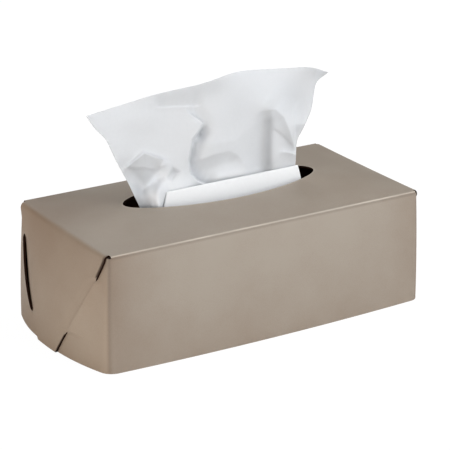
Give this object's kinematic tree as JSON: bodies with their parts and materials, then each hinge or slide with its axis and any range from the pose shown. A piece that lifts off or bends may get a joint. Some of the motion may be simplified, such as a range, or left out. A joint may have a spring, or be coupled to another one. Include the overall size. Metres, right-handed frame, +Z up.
{
  "type": "tissue box holder",
  "caption": "Open-bottomed rectangular cover folded from one leather-like sheet, with an oval mouth, over a pack of tissues, one of them pulled up through it.",
  "frame": {"origin": "middle of the footprint, on the table", "axes": "+X along the length, to the right as seen from the front; +Y to the back; +Z up"},
  "size_m": [0.287, 0.1418, 0.1743],
  "materials": {
    "leather_sheet": "smooth semi-matte, very fine grain",
    "tissue": "matte white two-ply tissue"
  },
  "bodies": {
    "root": {"cover": "leather_sheet", "tissue_stack": "tissue", "pulled_tissue": "tissue", "next_tissue": "tissue"}
  },
  "joints": []
}
